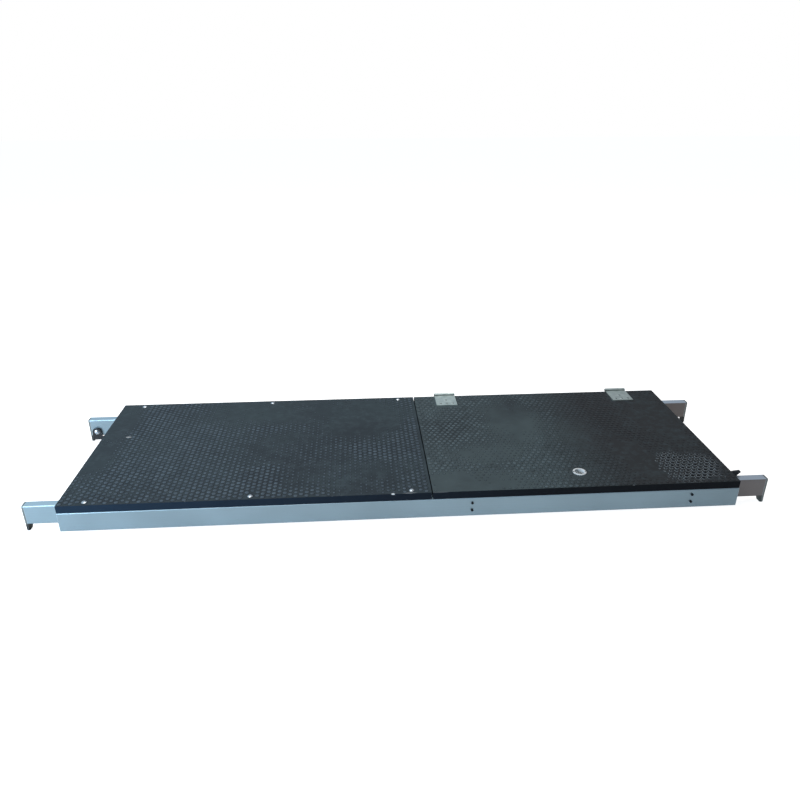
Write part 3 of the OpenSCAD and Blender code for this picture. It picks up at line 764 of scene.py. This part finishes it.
def pale_moulding(name):
    """Pale moulded plastic: soft satin skin, faint flow mottling, specks of grit."""
    material, tree, coords = start_material(name)
    flow = add(tree, "TexNoise", {
        "Vector": coords.outputs["Object"], "Scale": 1 / (9 * MM), "Detail": 3.0})
    # Grit marks, drawn 0.9 mm across so that they show
    grit = add(tree, "TexNoise", {
        "Vector": coords.outputs["Object"], "Scale": 1 / (0.9 * MM), "Detail": 3.0, "Roughness": 0.7})
    dirt = add(tree, "MapRange", {
        "Value": grit, "From Min": 0.6, "From Max": 0.75, "To Min": 0.0, "To Max": 0.35})
    corners = edge_mask(tree, 0.5 * MM)
    base = add(tree, "MixRGB", {"Fac": flow, "Color1": linear("#dde2e2"), "Color2": linear("#eef1f1")})
    dirty = add(tree, "MixRGB", {"Fac": dirt, "Color1": base, "Color2": linear("#a3abaa")})
    worn = add(tree, "Math", {0: corners, 1: 0.5}, operation="MULTIPLY")
    colour = add(tree, "MixRGB", {"Fac": worn, "Color1": dirty, "Color2": linear("#f1f4f4")})
    rough = add(tree, "MapRange", {"Value": flow, "To Min": 0.34, "To Max": 0.52})
    bump = add(tree, "Bump", {"Height": grit, "Strength": 0.2, "Distance": 0.05 * MM})
    end_material(tree, add(tree, "BsdfPrincipled", {
        "Base Color": colour, "Roughness": rough, "IOR": 1.49, "Normal": bump}))
    return material


ring_plastic = pale_moulding("pale_grey_moulding")
dress("finger_ring", ring_plastic, edge=0.25 * MM)
dress("finger_ring_screws", screw_steel, edge=0.1 * MM)


# ---- Wind locks ----------------------------------------------------------------------------------
# Two hooked levers moulded in glass-filled nylon, each turning on a large aluminium rivet with a
# washer behind it. The mould leaves a fine matt texture, rubbed smooth and grey on the corners.

def moulded_nylon(name):
    """Glass-filled nylon: near black, fine spark texture, soft sheen, greyed corners."""
    material, tree, coords = start_material(name)
    # Spark texture is about 0.2 mm, drawn 0.7 mm so that it shows
    spark = add(tree, "TexNoise", {
        "Vector": coords.outputs["Object"], "Scale": 1 / (0.7 * MM), "Detail": 3.0, "Roughness": 0.6})
    bloom = add(tree, "TexNoise", {
        "Vector": coords.outputs["Object"], "Scale": 1 / (12 * MM), "Detail": 3.0})
    corners = edge_mask(tree, 0.8 * MM)
    base = add(tree, "MixRGB", {"Fac": bloom, "Color1": linear("#111214"), "Color2": linear("#222427")})
    worn = add(tree, "Math", {0: corners, 1: 0.4}, operation="MULTIPLY")
    colour = add(tree, "MixRGB", {"Fac": worn, "Color1": base, "Color2": linear("#54575a")})
    rough = add(tree, "MapRange", {
        "Value": bloom, "From Min": 0.3, "From Max": 0.7, "To Min": 0.38, "To Max": 0.55})
    bump = add(tree, "Bump", {"Height": spark, "Strength": 0.35, "Distance": 0.08 * MM})
    end_material(tree, add(tree, "BsdfPrincipled", {
        "Base Color": colour, "Roughness": rough, "IOR": 1.53, "Normal": bump}))
    return material


lever_nylon = moulded_nylon("glass_filled_nylon")
for corner in ("rear_left", "front_right"):
    dress("wind_lock_" + corner, lever_nylon, edge=0.5 * MM)
dress("wind_lock_rivets", rivet_aluminium, edge=0.2 * MM)
dress("wind_lock_washers", leaf_screw_steel, edge=0.1 * MM)


# ---- Floor, light and camera ---------------------------------------------------------------------
# A plain pale studio floor that the lips stand on. A cool window light comes from the left, and a
# neutral one from above. The right side has only what the room gives.

FLOOR_REACH = 14.0
WHITE = (1.0, 1.0, 1.0, 1.0)


def seen_rays(tree, camera_share, mirror_share):
    """How much of the white lift each kind of ray sees: the camera, and mirrors or glass."""
    rays = add(tree, "LightPath")
    glossy = add(tree, "Math", {
        0: rays.outputs["Is Glossy Ray"], 1: rays.outputs["Is Transmission Ray"]}, operation="MAXIMUM")
    mirrored = add(tree, "Math", {0: glossy, 1: mirror_share}, operation="MULTIPLY")
    direct = add(tree, "Math", {0: rays.outputs["Is Camera Ray"], 1: camera_share}, operation="MULTIPLY")
    return add(tree, "Math", {0: direct, 1: mirrored}, operation="MAXIMUM")


def studio_floor(name):
    """Matt white paint: keeps the soft shadow, is lifted to white, and is clear from below."""
    material, tree, coords = start_material(name)
    mottle = add(tree, "TexNoise", {"Vector": coords.outputs["Object"], "Scale": 3.0, "Detail": 2.0})
    paint = add(tree, "MixRGB", {"Fac": mottle, "Color1": linear("#e4e5e6"), "Color2": linear("#e9eaea")})
    matt = add(tree, "BsdfDiffuse", {"Color": paint})
    lift = add(tree, "Emission", {
        "Color": WHITE, "Strength": seen_rays(tree, camera_share=0.9, mirror_share=0.05)})
    top_side = add(tree, "AddShader", {0: matt, 1: lift})
    geometry = add(tree, "NewGeometry")
    rays = add(tree, "LightPath")
    below = add(tree, "Math", {
        0: geometry.outputs["Backfacing"], 1: rays.outputs["Is Camera Ray"]}, operation="MULTIPLY")
    clear = add(tree, "BsdfTransparent")
    end_material(tree, add(tree, "MixShader", {0: below, 1: top_side, 2: clear}))
    return material


floor_mesh = bpy.data.meshes.new("studio_floor")
floor_mesh.from_pydata(
    [(x * FLOOR_REACH, y * FLOOR_REACH, 0.0) for x, y in ((-1, -1), (1, -1), (1, 1), (-1, 1))],
    [], [(0, 1, 2, 3)])
floor_mesh.materials.append(studio_floor("matt_white_floor"))
studio = bpy.data.objects.new("studio_floor", floor_mesh)
bpy.context.scene.collection.objects.link(studio)
studio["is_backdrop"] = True

world = bpy.data.worlds.new("white_room")
bpy.context.scene.world = world
world.use_nodes = True
sky = world.node_tree
sky.nodes.clear()
# The share of the room's brightness that lights matt surfaces
AMBIENT = 0.22
# Seen in polished metal, the room is bright and cool on the left and falls off to the right
direction = add(sky, "SeparateXYZ", {"Vector": add(sky, "TexCoord").outputs["Generated"]})
sideways = add(sky, "MapRange", {"Value": direction.outputs["X"], "From Min": -0.5, "From Max": 0.6})
wall = add(sky, "MixRGB", {"Fac": sideways, "Color1": linear("#d4ecff"), "Color2": linear("#929094")})
rays = add(sky, "LightPath")
seen = add(sky, "MixRGB", {"Fac": rays.outputs["Is Camera Ray"], "Color1": wall, "Color2": WHITE})
share = seen_rays(sky, camera_share=1.0, mirror_share=1.0)
strength = add(sky, "MapRange", {"Value": share, "To Min": AMBIENT, "To Max": 1.0})
room = add(sky, "Background", {"Color": seen, "Strength": strength})
add(sky, "OutputWorld", {"Surface": room})


def area_light(name, place, target, width, height, watts, colour):
    """A soft box at a place, turned to face a target."""
    lamp = bpy.data.lights.new(name, "AREA")
    lamp.shape = "RECTANGLE"
    lamp.size = width
    lamp.size_y = height
    lamp.energy = watts
    lamp.color = linear(colour)[:3]
    light = bpy.data.objects.new(name, lamp)
    bpy.context.scene.collection.objects.link(light)
    light.location = place
    light.rotation_euler = (Vector(target) - Vector(place)).to_track_quat("-Z", "Y").to_euler()


area_light(
    "window_left", place=(-2.6, -1.9, 0.9), target=(-0.3, -0.1, 0.05),
    width=1.8, height=1.6, watts=98, colour="#d2e9ff")
area_light(
    "softbox_above", place=(-0.5, 0.3, 2.6), target=(0.0, 0.0, 0.0),
    width=2.4, height=1.6, watts=40, colour="#fff8f4")

# The view: from in front of the platform and above it, turned a little right, through a 31 mm lens.
# Yaw is to the right, pitch is down, and all three angles are in degrees
EYE_PLACE = (-0.1167, -1.7938, 1.0584)
YAW = 3.7152
PITCH = 24.8286
ROLL = -0.1026
eye = bpy.data.cameras.new("eye")
eye.lens = 30.681
eye.sensor_width = 36.0
camera = bpy.data.objects.new("eye", eye)
bpy.context.scene.collection.objects.link(camera)
turn = Matrix.Rotation(-math.radians(YAW), 4, "Z")
tilt = Matrix.Rotation(math.radians(90 - PITCH), 4, "X")
lean = Matrix.Rotation(math.radians(ROLL), 4, "Z")
camera.matrix_world = Matrix.Translation(EYE_PLACE) @ turn @ tilt @ lean
bpy.context.scene.camera = camera
bpy.context.scene.view_settings.view_transform = "Standard"


low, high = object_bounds()
